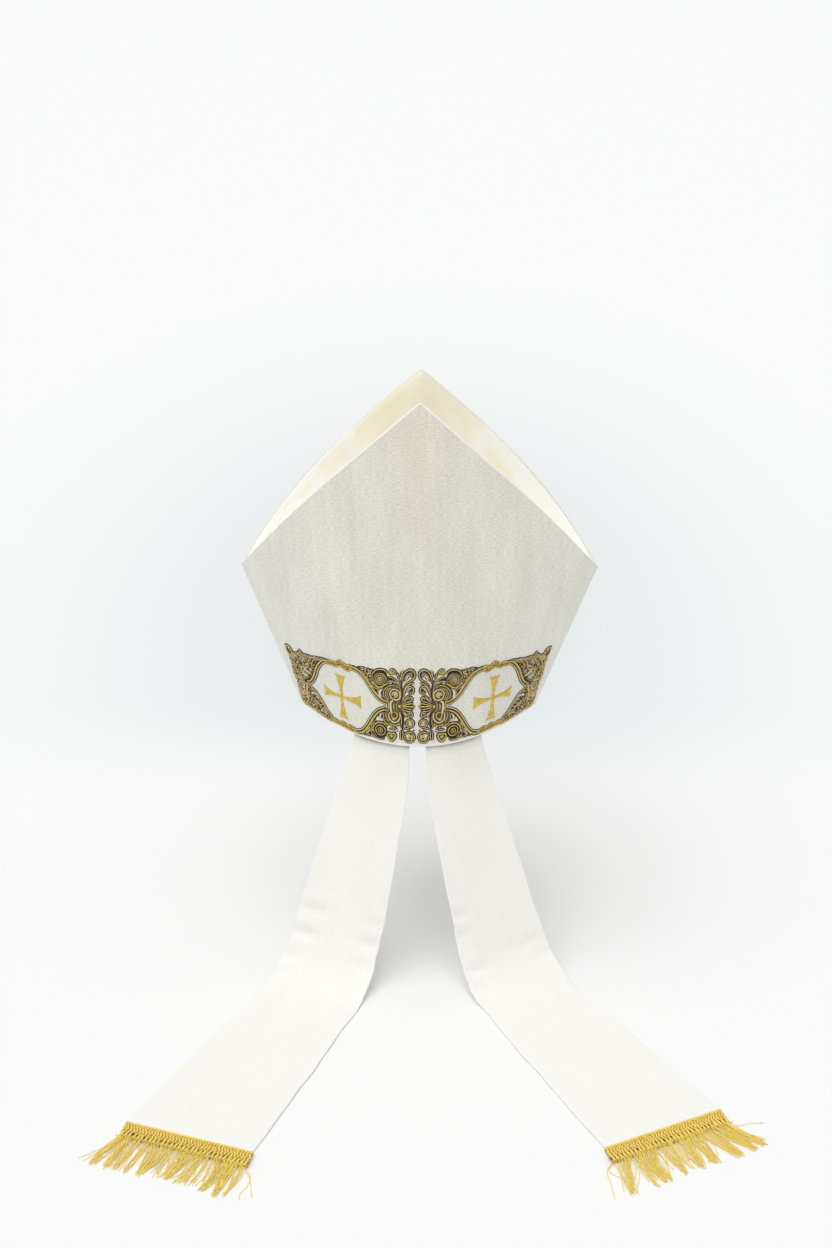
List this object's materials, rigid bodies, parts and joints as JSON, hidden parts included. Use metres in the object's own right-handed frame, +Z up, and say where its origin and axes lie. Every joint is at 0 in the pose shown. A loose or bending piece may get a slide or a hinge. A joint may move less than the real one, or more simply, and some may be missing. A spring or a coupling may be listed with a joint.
{
  "type": "bishop mitre",
  "caption": "Worn bishop's mitre: stiff pentagonal front and back panels, a satin valley between their peaks, a raised gold-thread band round the rim, and fringed lappets behind.",
  "frame": {"origin": "centre of the head opening, in the plane of the rim", "axes": "+Z up towards the peaks, -Y out of the back, where the lappets hang, +X to the right as seen from behind"},
  "size_m": [0.541, 0.5585, 0.495],
  "materials": {
    "panel_cloth": "ivory crepe over a stiffener, fine uneven weave, matt with a faint sheen",
    "lining_satin": "cream satin, soft sheen",
    "lappet_cloth": "ivory crepe, interlined, matt",
    "antique_thread": "old-gold and dark bronze metallic embroidery yarn, raised",
    "gold_thread": "bright gold metallic yarn, satin stitch, woven braid and cut fringe"
  },
  "bodies": {
    "root": {"back_panel": "panel_cloth", "front_panel": "panel_cloth", "gusset_lining": "lining_satin", "embroidery_back_left": "antique_thread", "cross_back_left": "gold_thread", "embroidery_back_right": "antique_thread", "cross_back_right": "gold_thread", "embroidery_front_left": "antique_thread", "cross_front_left": "gold_thread", "embroidery_front_right": "antique_thread", "cross_front_right": "gold_thread", "lappet_left": "lappet_cloth", "fringe_left": "gold_thread", "lappet_right": "lappet_cloth", "fringe_right": "gold_thread"}
  },
  "joints": []
}
